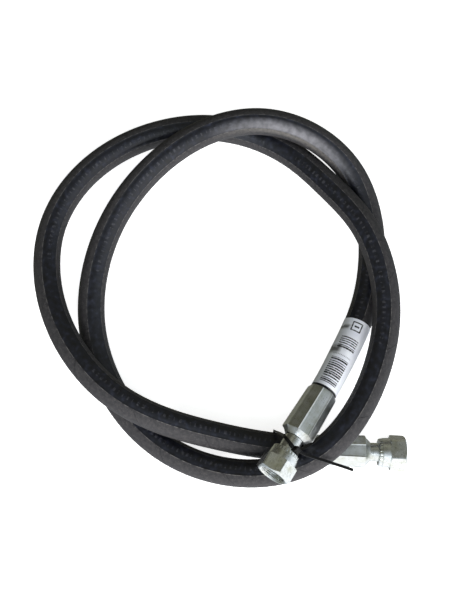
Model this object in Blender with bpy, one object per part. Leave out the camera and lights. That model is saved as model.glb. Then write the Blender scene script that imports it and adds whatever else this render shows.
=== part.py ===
"""Hydraulic hose assembly: a two-wire-braid rubber hose lying in two loose loops, with a crimped
24 degree cone fitting and a swivel nut (M22 x 1.5, 27 mm across flats) on each end, a paper label
behind the first ferrule and a cable tie that holds the two ends together.

Metres, +Z up. The origin is on the ground, under the middle of the whole assembly's box.
Each fitting is modelled along its own +X axis, from the mouth of its ferrule towards the nut.
"""

import math

import bmesh
import bpy
import numpy as np
from mathutils import Matrix, Vector

MM = 0.001

# --- The hose, from the inside out: (outer radius, inner radius) of each layer at its corners ---
HOSE_SIDES = 8
RING_SPACING = 28 * MM
INNER_TUBE = (8.1 * MM, 6.9 * MM)
INNER_BRAID = (8.85 * MM, 8.45 * MM)
INTERLAYER = (9.45 * MM, 9.2 * MM)
OUTER_BRAID = (10.2 * MM, 9.8 * MM)
COVER = (11.75 * MM, 10.55 * MM)
CRIMPED_COVER_RADIUS = 10.85 * MM
CRIMP_SQUEEZE = 0.965
HOSE_IN_FERRULE = 39.5 * MM

# --- The route of the hose's centreline between the two ferrule mouths ---
ROUTE = [
    (0.0894, -0.0896, 0.0394),
    (0.1101, -0.0541, 0.0280),
    (0.1293, -0.0137, 0.0170),
    (0.1385, 0.0283, 0.0124),
    (0.1367, 0.0723, 0.0136),
    (0.1197, 0.1109, 0.0228),
    (0.0855, 0.1389, 0.0330),
    (0.0446, 0.1511, 0.0369),
    (-0.0024, 0.1447, 0.0359),
    (-0.0392, 0.1255, 0.0310),
    (-0.0950, 0.0602, 0.0157),
    (-0.1085, 0.0152, 0.0123),
    (-0.1093, -0.0265, 0.0119),
    (-0.0963, -0.0728, 0.0119),
    (-0.0736, -0.1084, 0.0119),
    (-0.0376, -0.1383, 0.0123),
    (0.0029, -0.1533, 0.0162),
    (0.0449, -0.1549, 0.0264),
    (0.0841, -0.1407, 0.0382),
    (0.1159, -0.1081, 0.0410),
    (0.1359, -0.0677, 0.0396),
    (0.1452, -0.0257, 0.0374),
    (0.1420, 0.0193, 0.0370),
    (0.1275, 0.0583, 0.0346),
    (0.1011, 0.0945, 0.0254),
    (0.0727, 0.1249, 0.0166),
    (0.0328, 0.1481, 0.0122),
    (-0.0084, 0.1558, 0.0119),
    (-0.0541, 0.1497, 0.0119),
    (-0.0942, 0.1314, 0.0119),
    (-0.1283, 0.0996, 0.0121),
    (-0.1464, 0.0625, 0.0139),
    (-0.1490, 0.0183, 0.0195),
    (-0.1377, -0.0237, 0.0270),
    (-0.1141, -0.0633, 0.0342),
    (-0.0837, -0.0923, 0.0360),
    (-0.0421, -0.1131, 0.0298),
    (-0.0031, -0.1237, 0.0184),
    (0.0409, -0.1321, 0.0134),
    (0.0837, -0.1359, 0.0138),
]
# Each fitting's heading: its compass angle from +X, and how far its nut end is raised.
FITTING_HEADINGS = {1: (-123.2, 14.0), 2: (-2.6, 1.7)}

# --- The fittings, measured along the axis from the ferrule's mouth ---
ROUND_SIDES = 24
FERRULE_LENGTH = 47 * MM
FERRULE_FLATS = 8
FERRULE_MOUTH_APOTHEM = 11.9 * MM
FERRULE_END_APOTHEM = 13.0 * MM
FERRULE_CHAMFER = 4.5 * MM
FERRULE_BORE_RADIUS = 10.75 * MM
FERRULE_RIDGE_ANGLE = math.radians(3.5)
FERRULE_ROLL = {1: 13.5, 2: 20.0}
LIP_RADIUS = 7.2 * MM

STEM_RADIUS = 5.85 * MM
STEM_ROOT_RADIUS = 5.4 * MM
STEM_START = 1.5 * MM
STEM_GROOVES = 5
STEM_GROOVE_PITCH = 6.5 * MM
SHOULDER_START = 41.0 * MM
GROOVE_START = 43.4 * MM
GROOVE_END = 46.6 * MM
GROOVE_RADIUS = 6.9 * MM
NECK_RADIUS = 7.9 * MM
FLANGE_START = 64.4 * MM
FLANGE_END = 67.9 * MM
FLANGE_RADIUS = 9.5 * MM
CONE_BASE_RADIUS = 8.6 * MM
CONE_LENGTH = 8.0 * MM
CONE_HALF_ANGLE = math.radians(12)
BORE_RADIUS = 4.5 * MM

SEAL_GROOVE_CENTRE = 72.6 * MM
SEAL_GROOVE_WIDTH = 2.6 * MM
SEAL_GROOVE_RADIUS = 5.7 * MM
SEAL_RING_RADIUS = 7.0 * MM
SEAL_CORD_RADIUS = 0.95 * MM

NUT_REAR = {1: 60.0 * MM, 2: 54.2 * MM}
NUT_LENGTH = 23.0 * MM
NUT_COLLAR_LENGTH = 9.7 * MM
NUT_COLLAR_RADII = (11.6 * MM, 12.5 * MM)
NUT_ACROSS_FLATS = 27 * MM
NUT_LIP_LENGTH = 3.0 * MM
NUT_LIP_RADIUS = 8.3 * MM
NUT_RELIEF_RADIUS = 11.0 * MM
NUT_THREAD_START = 11.5 * MM
NUT_THREAD_RADIUS = 10.3 * MM
NUT_MOUTH_RADIUS = 11.3 * MM
NUT_FACE_RADIUS = 12.7 * MM
NUT_CHAMFER = math.radians(30)
NUT_ROLL = {1: 18.0, 2: 49.0}

# --- The label, wrapped round the hose behind the first ferrule ---
LABEL_END = 72 * MM
LABEL_RADII = (12.4 * MM, 12.12 * MM)

# --- The cable tie: a loop round the neck of fitting 1 and the hose's second end ---
TIE_WIDTH = 2.6 * MM
TIE_THICKNESS = 1.0 * MM
TIE_ON_NECK = 53.4 * MM
TIE_NECK_ACROSS = (0.0061, -0.0077, 0.0)
TIE_NECK_UP = 9.4 * MM
TIE_ROUND_HOSE = (0.0464, -0.1327, 0.0134)
TIE_HOSE_ACROSS = (0.0045, 0.01265, 0.0)
TIE_HOSE_UP = 12.7 * MM
TIE_BETWEEN = [
    (0.0634, -0.1387, 0.0418),
    (0.0564, -0.1389, 0.0355),
    (0.0489, -0.1399, 0.0290),
    (0.0441, -0.1419, 0.0232),
    (0.0422, -0.1442, 0.0180),
]
TIE_HEAD = (4.6 * MM, 4.4 * MM, 5.0 * MM)
TIE_HEAD_AT = 6
TIE_TAIL_LIFT = 1.8 * MM
TIE_TAIL_UP = (0.1, 0.3, 0.95)
TIE_TAIL = [
    (0.0704, -0.1399, 0.0590),
    (0.0759, -0.1419, 0.0565),
    (0.0969, -0.1482, 0.0495),
    (0.1121, -0.1530, 0.0445),
]


def clear_scene():
    for obj in list(bpy.data.objects):
        bpy.data.objects.remove(obj, do_unlink=True)


def make_material(name, colour, roughness, metallic=0.0):
    material = bpy.data.materials.new(name)
    material.use_nodes = True
    shader = material.node_tree.nodes["Principled BSDF"]
    shader.inputs["Base Color"].default_value = (*colour, 1.0)
    shader.inputs["Roughness"].default_value = roughness
    shader.inputs["Metallic"].default_value = metallic
    return material


def add_object(name, bm, material, smooth_angle=35.0):
    """Make a mesh object of a closed bmesh, with its faces turned outwards."""
    bmesh.ops.recalc_face_normals(bm, faces=bm.faces)
    mesh = bpy.data.meshes.new(name)
    bm.to_mesh(mesh)
    bm.free()
    mesh.shade_smooth()
    mesh.set_sharp_from_angle(angle=math.radians(smooth_angle))
    mesh.materials.append(material)
    obj = bpy.data.objects.new(name, mesh)
    bpy.context.scene.collection.objects.link(obj)
    return obj


def ring_solid(outer_rings, inner_rings):
    """A closed tube between two lists of rings of points, joined at both ends by flat rims.

    Every wall is cut along the same diagonal, so that nested tubes stay parallel to each other.
    """
    bm = bmesh.new()
    outer = [[bm.verts.new(p) for p in ring] for ring in outer_rings]
    inner = [[bm.verts.new(p) for p in ring] for ring in inner_rings]
    sides = len(outer[0])
    pairs = [*zip(outer, outer[1:]), *zip(inner, inner[1:])]
    for here, there in pairs:
        for i in range(sides):
            j = (i + 1) % sides
            bm.faces.new((here[i], here[j], there[j]))
            bm.faces.new((here[i], there[j], there[i]))
    for rim, hole in ((outer[0], inner[0]), (outer[-1], inner[-1])):
        for i in range(sides):
            j = (i + 1) % sides
            bm.faces.new((rim[i], rim[j], hole[j], hole[i]))
    return bm


def circle(u, radius, sides, phase=0.0):
    """A ring of points round the local X axis, at distance u along it."""
    angles = [phase + 2 * math.pi * i / sides for i in range(sides)]
    return [Vector((u, radius * math.cos(a), radius * math.sin(a))) for a in angles]


def turned(outer, inner, sides=ROUND_SIDES):
    """A lathe part: outer and inner outlines of (distance along X, radius), both listed from the rear."""
    return ring_solid(
        [circle(u, r, sides) for u, r in outer],
        [circle(u, r, sides) for u, r in inner],
    )


# ---------------------------------------------------------------- the hose's centreline


def heading(azimuth, tilt):
    a, t = math.radians(azimuth), math.radians(tilt)
    return np.array([math.cos(a) * math.cos(t), math.sin(a) * math.cos(t), math.sin(t)])


def clamped_spline(points, start, end, spacing):
    """Points along the cubic spline through the given ones, with set directions at both ends."""
    p = np.array(points)
    h = np.linalg.norm(np.diff(p, axis=0), axis=1)
    s = np.concatenate([[0.0], np.cumsum(h)])
    n = len(p)
    a, b = np.zeros((n, n)), np.zeros((n, 3))
    slope = np.diff(p, axis=0) / h[:, None]
    a[0, :2] = 2 * h[0], h[0]
    b[0] = 6 * (slope[0] - start)
    a[-1, -2:] = h[-1], 2 * h[-1]
    b[-1] = 6 * (end - slope[-1])
    for i in range(1, n - 1):
        a[i, i - 1 : i + 2] = h[i - 1], 2 * (h[i - 1] + h[i]), h[i]
        b[i] = 6 * (slope[i] - slope[i - 1])
    m = np.linalg.solve(a, b)
    t = np.linspace(0.0, s[-1], int(round(s[-1] / spacing)) + 1)
    k = np.clip(np.searchsorted(s, t, side="right") - 1, 0, n - 2)
    gap, left, right = h[k][:, None], (s[k + 1] - t)[:, None], (t - s[k])[:, None]
    curve = (m[k] * left**3 + m[k + 1] * right**3) / (6 * gap)
    curve += (p[k] / gap - m[k] * gap / 6) * left
    curve += (p[k + 1] / gap - m[k + 1] * gap / 6) * right
    return curve


def hose_line():
    """The whole centreline with its tangents: straight in each ferrule, and the spline between.

    The rings between are moved out of each bend a little, so that the straight walls between
    them lie on average where the round hose does.
    """
    first, last = heading(*FITTING_HEADINGS[1]), heading(*FITTING_HEADINGS[2])
    middle = clamped_spline(ROUTE, -first, last, RING_SPACING)
    tangents = np.gradient(middle, axis=0)
    middle[1:-1] -= np.diff(middle, 2, axis=0) / 16
    points = [
        middle[0] + first * HOSE_IN_FERRULE,
        middle[0] + first * 0.5 * MM,
        middle[0] - first * 4 * MM,
        *middle[1:-1],
        middle[-1] - last * 4 * MM,
        middle[-1] + last * 0.5 * MM,
        middle[-1] + last * HOSE_IN_FERRULE,
    ]
    tangents = [-first, -first, -first, *tangents[1:-1], last, last, last]
    return [Vector(p) for p in points], [Vector(t).normalized() for t in tangents]


def ring_across(point, tangent, radius, sides=HOSE_SIDES):
    """A ring of points square to the tangent, with one corner of the polygon on top."""
    across = tangent.cross(Vector((0, 0, 1))).normalized()
    above = across.cross(tangent)
    angles = [2 * math.pi * i / sides for i in range(sides)]
    return [point + radius * (math.cos(a) * across + math.sin(a) * above) for a in angles]


def hose_layer(name, radii, line, material, crimped_radius=None):
    """One layer of the hose. Inside the ferrules the crimp squeezes it."""
    points, tangents = line
    squeezed = (0, 1, len(points) - 2, len(points) - 1)
    outside, inside = [], []
    for i, (point, tangent) in enumerate(zip(points, tangents)):
        outer, inner = radii
        if i in squeezed:
            outer, inner = (crimped_radius or outer) * CRIMP_SQUEEZE, inner * CRIMP_SQUEEZE
        outside.append(ring_across(point, tangent, outer))
        inside.append(ring_across(point, tangent, inner))
    return add_object(name, ring_solid(outside, inside), material, 50)


def make_hose(line, materials):
    hose_layer("inner_tube", INNER_TUBE, line, materials["inner_rubber"])
    hose_layer("inner_wire_braid", INNER_BRAID, line, materials["braid_wire"])
    hose_layer("braid_interlayer", INTERLAYER, line, materials["inner_rubber"])
    hose_layer("outer_wire_braid", OUTER_BRAID, line, materials["braid_wire"])
    hose_layer("hose_cover", COVER, line, materials["cover_rubber"], CRIMPED_COVER_RADIUS)


def make_label(line, material):
    """The label lies on the cover, from just behind the ferrule."""
    points, tangents = line
    share = (LABEL_END - 2 * RING_SPACING) / RING_SPACING
    last_point = points[4].lerp(points[5], share)
    last_tangent = tangents[4].lerp(tangents[5], share)
    spots = [*zip(points[2:5], tangents[2:5]), (last_point, last_tangent)]
    rings = [[ring_across(p, t, r) for p, t in spots] for r in LABEL_RADII]
    add_object("hose_label", ring_solid(*rings), material, 50)


# ---------------------------------------------------------------- the fittings


def fitting_frame(number):
    """An empty at the ferrule's mouth, with its X axis along the fitting."""
    azimuth, tilt = FITTING_HEADINGS[number]
    frame = bpy.data.objects.new(f"fitting_{number}_frame", None)
    frame.location = ROUTE[0] if number == 1 else ROUTE[-1]
    frame.rotation_euler = (0.0, -math.radians(tilt), math.radians(azimuth))
    bpy.context.scene.collection.objects.link(frame)
    return frame


def crimped_ring(u, apothem, roll):
    """The ferrule's section: eight flats, with each corner cut to a narrow ridge."""
    half = math.pi / FERRULE_FLATS
    radius = apothem / math.cos(half - FERRULE_RIDGE_ANGLE)
    ring = []
    for i in range(FERRULE_FLATS):
        for side in (-1, 1):
            a = roll + 2 * half * i + side * FERRULE_RIDGE_ANGLE
            ring.append(Vector((u, radius * math.cos(a), radius * math.sin(a))))
    return ring


def make_ferrule(number, frame, material):
    roll = math.radians(FERRULE_ROLL[number])
    shoulder = FERRULE_LENGTH - FERRULE_CHAMFER
    end_apothem = FERRULE_END_APOTHEM - FERRULE_CHAMFER
    outer = [
        (0.0, FERRULE_MOUTH_APOTHEM - 0.3 * MM),
        (1.0 * MM, FERRULE_MOUTH_APOTHEM),
        (shoulder, FERRULE_END_APOTHEM),
        (FERRULE_LENGTH, end_apothem + 0.4 * MM),
    ]
    inner = [
        (0.0, FERRULE_BORE_RADIUS),
        (GROOVE_START - 0.1 * MM, FERRULE_BORE_RADIUS),
        (GROOVE_START + 0.4 * MM, LIP_RADIUS),
        (GROOVE_END - 0.4 * MM, LIP_RADIUS),
        (GROOVE_END - 0.25 * MM, NUT_LIP_RADIUS),
        (FERRULE_LENGTH, NUT_LIP_RADIUS),
    ]
    bm = ring_solid(
        [crimped_ring(u, a, roll) for u, a in outer],
        [crimped_ring(u, a, roll) for u, a in inner],
    )
    obj = add_object(f"ferrule_{number}", bm, material, 20)
    obj.parent = frame


def stem_outline():
    """The barbed stem that the hose is pushed over."""
    outline = [(STEM_START, STEM_ROOT_RADIUS - 0.3 * MM), (STEM_START + 2 * MM, STEM_RADIUS)]
    for i in range(STEM_GROOVES):
        u = STEM_START + 2 * MM + (i + 0.6) * STEM_GROOVE_PITCH
        outline += [(u, STEM_RADIUS), (u + 0.3 * MM, STEM_ROOT_RADIUS), (u + 1.6 * MM, STEM_RADIUS)]
    return outline


def cone_outline():
    """The 24 degree cone, with the square groove that holds the sealing ring."""
    fall = math.tan(CONE_HALF_ANGLE)
    nose = FLANGE_END + CONE_LENGTH
    groove = (
        SEAL_GROOVE_CENTRE - SEAL_GROOVE_WIDTH / 2,
        SEAL_GROOVE_CENTRE + SEAL_GROOVE_WIDTH / 2,
    )

    def radius(u):
        return CONE_BASE_RADIUS - (u - FLANGE_END) * fall

    return [
        (FLANGE_END, CONE_BASE_RADIUS),
        (groove[0], radius(groove[0])),
        (groove[0], SEAL_GROOVE_RADIUS),
        (groove[1], SEAL_GROOVE_RADIUS),
        (groove[1], radius(groove[1])),
        (nose - 0.6 * MM, radius(nose - 0.6 * MM)),
        (nose, radius(nose) - 0.6 * MM),
    ]


def make_insert(number, frame, material):
    outer = [
        *stem_outline(),
        (SHOULDER_START, STEM_RADIUS),
        (SHOULDER_START, NECK_RADIUS),
        (GROOVE_START, NECK_RADIUS),
        (GROOVE_START, GROOVE_RADIUS),
        (GROOVE_END, GROOVE_RADIUS),
        (GROOVE_END, NECK_RADIUS),
        (FLANGE_START - 0.6 * MM, NECK_RADIUS),
        (FLANGE_START, FLANGE_RADIUS - 0.4 * MM),
        (FLANGE_START + 0.4 * MM, FLANGE_RADIUS),
        (FLANGE_END, FLANGE_RADIUS),
        *cone_outline(),
    ]
    nose = FLANGE_END + CONE_LENGTH
    inner = [
        (STEM_START, BORE_RADIUS),
        (nose - 0.8 * MM, BORE_RADIUS),
        (nose, BORE_RADIUS + 0.8 * MM),
    ]
    obj = add_object(f"insert_{number}", turned(outer, inner, 20), material)
    obj.parent = frame


def make_seal_ring(number, frame, material):
    """The rubber ring in the cone's groove: a small round section turned about the axis."""
    around, section = 20, 8
    bm = bmesh.new()
    rings = []
    for i in range(section):
        a = 2 * math.pi * i / section
        u = SEAL_GROOVE_CENTRE + SEAL_CORD_RADIUS * math.cos(a)
        radius = SEAL_RING_RADIUS + SEAL_CORD_RADIUS * math.sin(a)
        rings.append([bm.verts.new(p) for p in circle(u, radius, around)])
    for here, there in zip(rings, rings[1:] + rings[:1]):
        for i in range(around):
            j = (i + 1) % around
            bm.faces.new((here[i], here[j], there[j], there[i]))
    obj = add_object(f"o_ring_{number}", bm, material)
    obj.parent = frame


def hexagon_cutter(number, frame):
    """A hexagonal bar of the nut's size, which the turned blank is trimmed with."""
    corner = NUT_ACROSS_FLATS / math.sqrt(3)
    bm = bmesh.new()
    ends = [
        [bm.verts.new(p) for p in circle(u, corner, 6, math.radians(NUT_ROLL[number]))]
        for u in (-1 * MM, NUT_LENGTH + 1 * MM)
    ]
    for i in range(6):
        j = (i + 1) % 6
        bm.faces.new((ends[0][i], ends[0][j], ends[1][j], ends[1][i]))
    bm.faces.new(ends[0])
    bm.faces.new(ends[1])
    bmesh.ops.recalc_face_normals(bm, faces=bm.faces)
    mesh = bpy.data.meshes.new(f"nut_{number}_hexagon")
    bm.to_mesh(mesh)
    bm.free()
    cutter = bpy.data.objects.new(f"nut_{number}_hexagon", mesh)
    bpy.context.scene.collection.objects.link(cutter)
    cutter.hide_render = True
    cutter.display_type = "WIRE"
    cutter.parent = frame
    cutter.location = (NUT_REAR[number], 0.0, 0.0)
    return cutter


def make_nut(number, frame, material):
    """The swivel nut: a turned blank with a collar, cut to a hexagon. Its origin is on its axis."""
    corner = NUT_ACROSS_FLATS / math.sqrt(3) + 0.3 * MM
    front = NUT_LENGTH
    chamfer = (corner - NUT_FACE_RADIUS) * math.tan(NUT_CHAMFER)
    rear_radius, front_radius = NUT_COLLAR_RADII
    outer = [
        (0.0, rear_radius - 0.8 * MM),
        (0.8 * MM, rear_radius),
        (NUT_COLLAR_LENGTH, front_radius),
        (NUT_COLLAR_LENGTH, corner),
        (front - chamfer, corner),
        (front, NUT_FACE_RADIUS),
    ]
    inner = [
        (0.0, NUT_LIP_RADIUS),
        (NUT_LIP_LENGTH, NUT_LIP_RADIUS),
        (NUT_LIP_LENGTH, NUT_RELIEF_RADIUS),
        (NUT_THREAD_START, NUT_RELIEF_RADIUS),
        (NUT_THREAD_START, NUT_THREAD_RADIUS),
        (front - 1.2 * MM, NUT_THREAD_RADIUS),
        (front, NUT_MOUTH_RADIUS),
    ]
    obj = add_object(f"swivel_nut_{number}", turned(outer, inner), material, 20)
    obj.parent = frame
    obj.location = (NUT_REAR[number], 0.0, 0.0)
    trim = obj.modifiers.new("hexagon", "BOOLEAN")
    trim.operation = "INTERSECT"
    trim.solver = "EXACT"
    trim.object = hexagon_cutter(number, frame)


def make_fitting(number, materials):
    frame = fitting_frame(number)
    make_ferrule(number, frame, materials["zinc_plate"])
    make_insert(number, frame, materials["zinc_plate"])
    make_seal_ring(number, frame, materials["seal_rubber"])
    make_nut(number, frame, materials["zinc_plate"])


# ---------------------------------------------------------------- the cable tie


def sweep_strap(points, normals, width, closed=False):
    """A flat strap along the points, its thickness along each normal."""
    count = len(points)
    rings = []
    bm = bmesh.new()
    for i, (point, normal) in enumerate(zip(points, normals)):
        before = points[i - 1] if closed or i else point
        after = points[(i + 1) % count] if closed or i < count - 1 else point
        tangent = (after - before).normalized()
        side = tangent.cross(normal).normalized() * width / 2
        up = side.cross(tangent).normalized() * TIE_THICKNESS / 2
        corners = ((1, 1), (-1, 1), (-1, -1), (1, -1))
        rings.append([bm.verts.new(point + a * side + b * up) for a, b in corners])
    for here, there in zip(rings, rings[1:] + rings[:1] if closed else rings[1:]):
        for i in range(4):
            j = (i + 1) % 4
            bm.faces.new((here[i], here[j], there[j], there[i]))
    if not closed:
        bm.faces.new(rings[0])
        bm.faces.new(rings[-1])
    return bm


def around(centre, across, height, angles):
    """Points of an upright ellipse, at the given angles in degrees from its half width."""
    up = Vector((0, 0, height))
    turns = [math.radians(a) for a in angles]
    return [centre + math.cos(a) * across + math.sin(a) * up for a in turns]


def tie_loop():
    """The loop's points, from the left of the neck over its top and round the hose below.

    With them come the outward directions, away from the neck's axis or the hose's.
    """
    first = Vector(heading(*FITTING_HEADINGS[1]))
    neck, hose = Vector(ROUTE[0]) + first * TIE_ON_NECK, Vector(TIE_ROUND_HOSE)
    over = around(neck, Vector(TIE_NECK_ACROSS), TIE_NECK_UP, range(180, -41, -20))
    between = [Vector(p) for p in TIE_BETWEEN]
    under = around(hose, Vector(TIE_HOSE_ACROSS), TIE_HOSE_UP, range(186, 371, 23))
    outward = [p - neck - (p - neck).project(first) for p in over]
    for p in between:
        outward.append(p - hose.lerp(neck, (p.z - hose.z) / (neck.z - hose.z)))
    outward += [p - hose for p in under]
    return [*over, *between, *under], [v.normalized() for v in outward]


def make_tie(material):
    """The loop binds the neck of fitting 1 to the hose's second end, which runs below it.

    The head sits on the neck, and the tail sticks out of it to the right.
    """
    points, outward = tie_loop()
    tie = add_object("cable_tie", sweep_strap(points, outward, TIE_WIDTH, True), material, 40)

    at = points[TIE_HEAD_AT]
    out = outward[TIE_HEAD_AT]
    run = (points[TIE_HEAD_AT + 1] - points[TIE_HEAD_AT - 1]).normalized()
    side = run.cross(out).normalized()
    out = side.cross(run)
    head = bmesh.new()
    turn = Matrix((out, side, run)).transposed().to_4x4()
    bmesh.ops.create_cube(head, size=1.0, matrix=turn @ Matrix.Diagonal((*TIE_HEAD, 1.0)))
    helpers = [add_object("tie_head", head, material)]
    helpers[0].location = at + out * (TIE_HEAD[0] / 2 - TIE_THICKNESS / 2)

    path = [at + out * TIE_TAIL_LIFT, *(Vector(p) for p in TIE_TAIL)]
    ups = [out, *(Vector(TIE_TAIL_UP) for _ in TIE_TAIL)]
    tail = sweep_strap(path, ups, TIE_WIDTH - 0.2 * MM)
    helpers.append(add_object("tie_tail", tail, material, 40))
    for helper in helpers:
        helper.hide_render = True
        helper.display_type = "WIRE"
        join = tie.modifiers.new(helper.name, "BOOLEAN")
        join.operation = "UNION"
        join.solver = "EXACT"
        join.object = helper


def main():
    clear_scene()
    materials = {
        "cover_rubber": make_material("cover_rubber", (0.030, 0.030, 0.033), 0.6),
        "inner_rubber": make_material("inner_rubber", (0.015, 0.015, 0.015), 0.7),
        "braid_wire": make_material("braid_wire", (0.60, 0.52, 0.34), 0.35, 1.0),
        "zinc_plate": make_material("zinc_plate", (0.56, 0.57, 0.52), 0.35, 1.0),
        "seal_rubber": make_material("seal_rubber", (0.020, 0.020, 0.020), 0.45),
        "label_paper": make_material("label_paper", (0.80, 0.81, 0.84), 0.5),
        "tie_nylon": make_material("tie_nylon", (0.010, 0.010, 0.010), 0.4),
    }
    line = hose_line()
    make_hose(line, materials)
    make_label(line, materials["label_paper"])
    for number in FITTING_HEADINGS:
        make_fitting(number, materials)
    make_tie(materials["tie_nylon"])


main()
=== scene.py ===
"""Hydraulic hose assembly on a white floor: round layers, crimped ferrules, threaded swivel nuts,
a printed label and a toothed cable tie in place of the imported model's simpler nodes.

Metres, +Z up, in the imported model's frame. Each fitting is made along its own X axis, from the
mouth of its ferrule (u = 0) towards the nut. Angles round the hose start on the side that faces
away from the coil and pass over the top.
"""

import math

import bmesh
import bpy
import numpy as np
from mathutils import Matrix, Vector


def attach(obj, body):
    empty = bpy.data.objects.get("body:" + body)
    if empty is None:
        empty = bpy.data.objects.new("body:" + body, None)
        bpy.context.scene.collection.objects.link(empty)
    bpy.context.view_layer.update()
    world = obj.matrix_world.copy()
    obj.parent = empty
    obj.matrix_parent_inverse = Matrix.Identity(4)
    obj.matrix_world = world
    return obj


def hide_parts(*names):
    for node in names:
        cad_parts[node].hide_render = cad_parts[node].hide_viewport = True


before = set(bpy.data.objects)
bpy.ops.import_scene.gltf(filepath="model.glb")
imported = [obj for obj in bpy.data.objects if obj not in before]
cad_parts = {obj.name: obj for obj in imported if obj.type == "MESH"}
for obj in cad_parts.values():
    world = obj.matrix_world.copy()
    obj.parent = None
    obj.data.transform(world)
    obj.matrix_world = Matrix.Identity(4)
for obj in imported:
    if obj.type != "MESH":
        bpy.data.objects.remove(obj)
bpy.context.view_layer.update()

MM = 0.001

# --- What lies round the scene, from its dark side to its light side ---
SURROUNDINGS = [
    (0.0, (0.055, 0.053, 0.040)),
    (0.13, (0.21, 0.21, 0.17)),
    (0.26, (0.105, 0.104, 0.085)),
    (0.42, (0.165, 0.170, 0.155)),
    (0.60, (0.30, 0.335, 0.365)),
    (0.78, (0.72, 0.76, 0.80)),
    (1.0, (1.0, 1.0, 1.0)),
]

# How much nearer the light side a direction gets with X and with Y.
LIGHT_FROM = (0.25, -0.5)
SURROUNDINGS_STRENGTH = 1.5

# --- The camera, above the coil and a little towards its fittings ---
CAMERA_TARGET = (0.0079, -0.0057, 0.012)
CAMERA_ELEVATION = 79.0
CAMERA_DISTANCE = 0.752
CAMERA_LENS = 34.0
CAMERA_SENSOR = 24.0

# --- The stage ---
FLOOR_SIZE = 8.0
BACKDROP_RADIUS = 5.0

# --- The hose's centreline between the two ferrule mouths ---
ROUTE = [
    (0.0894, -0.0896, 0.0394),
    (0.1101, -0.0541, 0.0280),
    (0.1293, -0.0137, 0.0170),
    (0.1385, 0.0283, 0.0124),
    (0.1367, 0.0723, 0.0136),
    (0.1197, 0.1109, 0.0228),
    (0.0855, 0.1389, 0.0330),
    (0.0446, 0.1511, 0.0369),
    (-0.0024, 0.1447, 0.0359),
    (-0.0392, 0.1255, 0.0310),
    (-0.0950, 0.0602, 0.0157),
    (-0.1085, 0.0152, 0.0123),
    (-0.1093, -0.0265, 0.0119),
    (-0.0963, -0.0728, 0.0119),
    (-0.0736, -0.1084, 0.0119),
    (-0.0376, -0.1383, 0.0123),
    (0.0029, -0.1533, 0.0162),
    (0.0449, -0.1549, 0.0264),
    (0.0841, -0.1407, 0.0382),
    (0.1159, -0.1081, 0.0410),
    (0.1359, -0.0677, 0.0396),
    (0.1452, -0.0257, 0.0374),
    (0.1420, 0.0193, 0.0370),
    (0.1275, 0.0583, 0.0346),
    (0.1011, 0.0945, 0.0254),
    (0.0727, 0.1249, 0.0166),
    (0.0328, 0.1481, 0.0122),
    (-0.0084, 0.1558, 0.0119),
    (-0.0541, 0.1497, 0.0119),
    (-0.0942, 0.1314, 0.0119),
    (-0.1283, 0.0996, 0.0121),
    (-0.1464, 0.0625, 0.0139),
    (-0.1490, 0.0183, 0.0195),
    (-0.1377, -0.0237, 0.0270),
    (-0.1141, -0.0633, 0.0342),
    (-0.0837, -0.0923, 0.0360),
    (-0.0421, -0.1131, 0.0298),
    (-0.0031, -0.1237, 0.0184),
    (0.0409, -0.1321, 0.0134),
    (0.0837, -0.1359, 0.0138),
]
FITTING_HEADINGS = {1: (-123.2, 14.0), 2: (-2.6, 1.7)}
HOSE_IN_FERRULE = 39.5 * MM
RING_SPACING = 2 * MM
HOSE_GIRTH = 0.0738

# --- The hose's layers: (outer radius, inner radius) ---
LAYERS = {
    "inner_tube": (8.0 * MM, 6.5 * MM),
    "inner_wire_braid": (8.6 * MM, 8.1 * MM),
    "braid_interlayer": (9.1 * MM, 8.7 * MM),
    "outer_wire_braid": (9.7 * MM, 9.2 * MM),
}
COVER_RADIUS = 11.75 * MM
COVER_INNER_RADIUS = 9.8 * MM
COVER_AT_FERRULE = 11.3 * MM
COVER_IN_FERRULE = 10.5 * MM
SWELL_LENGTH = 50 * MM
CRIMP_SQUEEZE = 0.965
# The smooth printed band along the hose lies between these angles, a little lower than the rest.
BAND = (81.7, 142.3)
BAND_DEPTH = 0.14 * MM
DASH_ROW = (0.535, 0.580)
DASH_PITCH = 4.6 * MM
TAPE_PITCH = 0.061

# A stretch with a painted sheen, a lighter colour that stands in for a highlight, as distances behind
# the first ferrule. It covers the band and the rubber beside it on the coil's inner side.
PAINTED_SHEEN_REACH = (0.205, 0.365)
PAINTED_SHEEN_FADE = 60 * MM

# --- The label: its reach behind the ferrule's mouth and its bars, as (start, end) ---
LABEL_REACH = (2 * MM, 71 * MM)
LABEL_RADIUS = 12.0 * MM
LABEL_LIFT = (0.30 * MM, 0.12 * MM)
BAR_GROUPS = [(5.0 * MM, 30.0 * MM), (38.5 * MM, 52.0 * MM)]
BAR_ANGLES = (57.0, 136.0)
BAR_PITCH = 2.1 * MM
MARK_CENTRE = (63.5 * MM, 92.0)
MARK_FRAME = (3.4 * MM, 4.7 * MM)
MARK_BAR = (0.9 * MM, 2.2 * MM)

# --- The fittings ---
FERRULE_LENGTH = 47 * MM
FERRULE_APOTHEMS = (11.9 * MM, 13.0 * MM)
FERRULE_CHAMFER = 4.5 * MM
FERRULE_BORE = 10.75 * MM
FERRULE_ROLL = {1: 11.0, 2: 20.0}
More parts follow.
